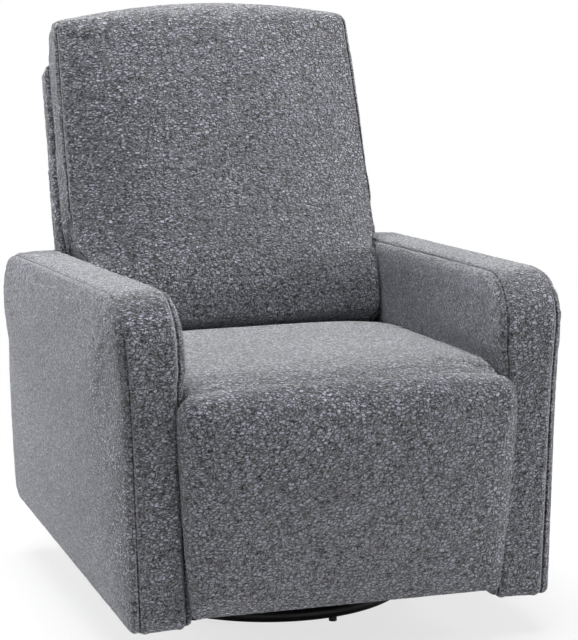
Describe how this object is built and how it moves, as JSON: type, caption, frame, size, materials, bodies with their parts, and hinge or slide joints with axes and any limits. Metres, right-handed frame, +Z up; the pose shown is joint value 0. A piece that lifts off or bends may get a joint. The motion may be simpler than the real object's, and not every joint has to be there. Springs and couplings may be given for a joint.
{
  "type": "swivel glider recliner",
  "caption": "Upholstered armchair with slab arms, a tall leaning back and a fold-out leg rest, on a round swivel base; it glides, reclines and opens.",
  "frame": {"origin": "on the floor under the middle of the chair, on the swivel axis", "axes": "+X towards the right as seen from in front, +Y towards the back of the chair, +Z up; the sitter faces -Y"},
  "size_m": [0.7666, 0.922, 1.0279],
  "materials": {
    "base_steel": "satin black powder coat",
    "mechanism_steel": "matt black paint",
    "foot_plastic": "matt",
    "plated_steel": "zinc plated",
    "bright_steel": "polished",
    "spring_steel": "drawn wire",
    "cage_brass": "pressed sheet",
    "timber": "sawn plywood",
    "roller_plastic": "natural nylon",
    "webbing": "woven elastic",
    "arm_upholstery": "looped pile",
    "seat_upholstery": "looped pile",
    "back_upholstery": "looped pile",
    "shell_upholstery": "looped pile"
  },
  "bodies": {
    "base": {"base_ring": "base_steel", "base_cross": "base_steel", "base_glides": "foot_plastic", "lower_race": "plated_steel", "swivel_bolt": "plated_steel"},
    "cage": {"ball_cage": "cage_brass", "bearing_balls": "bright_steel"},
    "turntable": {"upper_race": "plated_steel", "glide_channels": "base_steel", "glide_stand_left": "base_steel", "glide_stand_right": "base_steel", "glide_top_pins": "plated_steel"},
    "link_front_left": {"glide_link_front_left": "plated_steel"},
    "link_front_right": {"glide_link_front_right": "plated_steel"},
    "link_rear_left": {"glide_link_rear_left": "plated_steel"},
    "link_rear_right": {"glide_link_rear_right": "plated_steel"},
    "chassis": {"cross_rails": "mechanism_steel", "glide_hangers": "mechanism_steel", "chassis_plate_left": "mechanism_steel", "chassis_plate_right": "mechanism_steel", "glide_low_pins": "plated_steel", "recline_pins": "plated_steel", "arm_bolts": "plated_steel", "arm_frame_left": "timber", "arm_frame_right": "timber", "arm_left": "arm_upholstery", "arm_right": "arm_upholstery", "rear_panel": "shell_upholstery"},
    "seat": {"seat_plate_left": "plated_steel", "seat_plate_right": "plated_steel", "seat_rollers": "roller_plastic", "crank_rivets": "plated_steel", "seat_spacers": "plated_steel", "seat_frame": "timber", "seat_springs": "spring_steel", "seat_cushion": "seat_upholstery"},
    "back": {"back_bracket_left": "mechanism_steel", "back_bracket_right": "mechanism_steel", "back_pins": "plated_steel", "back_frame": "timber", "back_webbing": "webbing", "back_cushion": "back_upholstery", "outside_back": "shell_upholstery"},
    "drive": {"torque_tube": "mechanism_steel", "rear_crank_left": "plated_steel", "rear_crank_right": "plated_steel"},
    "crank_left": {"front_crank_left": "plated_steel"},
    "crank_right": {"front_crank_right": "plated_steel"},
    "bar_left": {"carrier_left": "plated_steel"},
    "bar_right": {"carrier_right": "plated_steel"},
    "lower_rod_left": {"rod_left": "plated_steel"},
    "lower_rod_right": {"rod_right": "plated_steel"},
    "leg_rest": {"leg_rest_bracket_left": "mechanism_steel", "leg_rest_bracket_right": "mechanism_steel", "leg_rest_board": "timber", "leg_rest_pad": "seat_upholstery"}
  },
  "joints": [
    {"name": "swivel", "type": "hinge", "parent": "base", "child": "turntable", "pos_m": [0, 0, 0.0464], "axis": [0, 0, 1], "continuous": true},
    {"name": "cage_turn", "type": "hinge", "parent": "base", "child": "cage", "pos_m": [0, 0, 0.0362], "axis": [0, 0, 1], "continuous": true},
    {"name": "glide", "type": "hinge", "parent": "turntable", "child": "link_front_left", "pos_m": [-0.203, -0.11, 0.245], "axis": [1, 0, 0], "range_deg": [-18, 18]},
    {"name": "glide_front_right", "type": "hinge", "parent": "turntable", "child": "link_front_right", "pos_m": [0.203, -0.11, 0.245], "axis": [1, 0, 0], "range_deg": [-18, 18]},
    {"name": "glide_rear_left", "type": "hinge", "parent": "turntable", "child": "link_rear_left", "pos_m": [-0.203, 0.11, 0.245], "axis": [1, 0, 0], "range_deg": [-18, 18]},
    {"name": "glide_rear_right", "type": "hinge", "parent": "turntable", "child": "link_rear_right", "pos_m": [0.203, 0.11, 0.245], "axis": [1, 0, 0], "range_deg": [-18, 18]},
    {"name": "chassis_swing", "type": "hinge", "parent": "link_front_left", "child": "chassis", "pos_m": [-0.203, -0.11, 0.115], "axis": [1, 0, 0], "range_deg": [-18, 18]},
    {"name": "back_recline", "type": "hinge", "parent": "chassis", "child": "back", "pos_m": [0, 0.24637, 0.405], "axis": [-1, 0, 0], "range_deg": [0, 36]},
    {"name": "seat_slide", "type": "slide", "parent": "chassis", "child": "seat", "axis": [0, -0.9976, 0.0698], "range_m": [0, 0.07383]},
    {"name": "leg_rest_open", "type": "hinge", "parent": "seat", "child": "leg_rest", "pos_m": [0, -0.41624, 0.415], "axis": [-1, 0, 0], "range_deg": [0, 92]},
    {"name": "drive_turn", "type": "hinge", "parent": "seat", "child": "drive", "pos_m": [0, -0.20268, 0.32435], "axis": [-1, 0, 0], "range_deg": [0, 92]},
    {"name": "crank_turn_left", "type": "hinge", "parent": "seat", "child": "crank_left", "pos_m": [-0.239, -0.25975, 0.34858], "axis": [-1, 0, 0], "range_deg": [0, 92]},
    {"name": "crank_turn_right", "type": "hinge", "parent": "seat", "child": "crank_right", "pos_m": [0.239, -0.25975, 0.34858], "axis": [-1, 0, 0], "range_deg": [0, 92]},
    {"name": "bar_turn_left", "type": "hinge", "parent": "crank_left", "child": "bar_left", "pos_m": [-0.234, -0.20478, 0.20901], "axis": [-1, 0, 0], "range_deg": [-92, 0]},
    {"name": "bar_turn_right", "type": "hinge", "parent": "crank_right", "child": "bar_right", "pos_m": [0.234, -0.20478, 0.20901], "axis": [-1, 0, 0], "range_deg": [-92, 0]},
    {"name": "rod_turn_left", "type": "hinge", "parent": "drive", "child": "lower_rod_left", "pos_m": [-0.234, -0.13305, 0.14757], "axis": [-1, 0, 0], "range_deg": [-92, 0]},
    {"name": "rod_turn_right", "type": "hinge", "parent": "drive", "child": "lower_rod_right", "pos_m": [0.234, -0.13305, 0.14757], "axis": [-1, 0, 0], "range_deg": [-92, 0]}
  ],
  "couplings": [
    {"joint": "cage_turn", "follows": "swivel", "ratio": 0.5},
    {"joint": "glide_front_right", "follows": "glide", "ratio": 1},
    {"joint": "glide_rear_left", "follows": "glide", "ratio": 1},
    {"joint": "glide_rear_right", "follows": "glide", "ratio": 1},
    {"joint": "chassis_swing", "follows": "glide", "ratio": -1},
    {"joint": "seat_slide", "follows": "back_recline", "m_per_rad": 0.11734},
    {"joint": "drive_turn", "follows": "leg_rest_open", "ratio": 1},
    {"joint": "crank_turn_left", "follows": "leg_rest_open", "ratio": 1},
    {"joint": "crank_turn_right", "follows": "leg_rest_open", "ratio": 1},
    {"joint": "bar_turn_left", "follows": "leg_rest_open", "ratio": -1},
    {"joint": "bar_turn_right", "follows": "leg_rest_open", "ratio": -1},
    {"joint": "rod_turn_left", "follows": "leg_rest_open", "ratio": -1},
    {"joint": "rod_turn_right", "follows": "leg_rest_open", "ratio": -1}
  ]
}
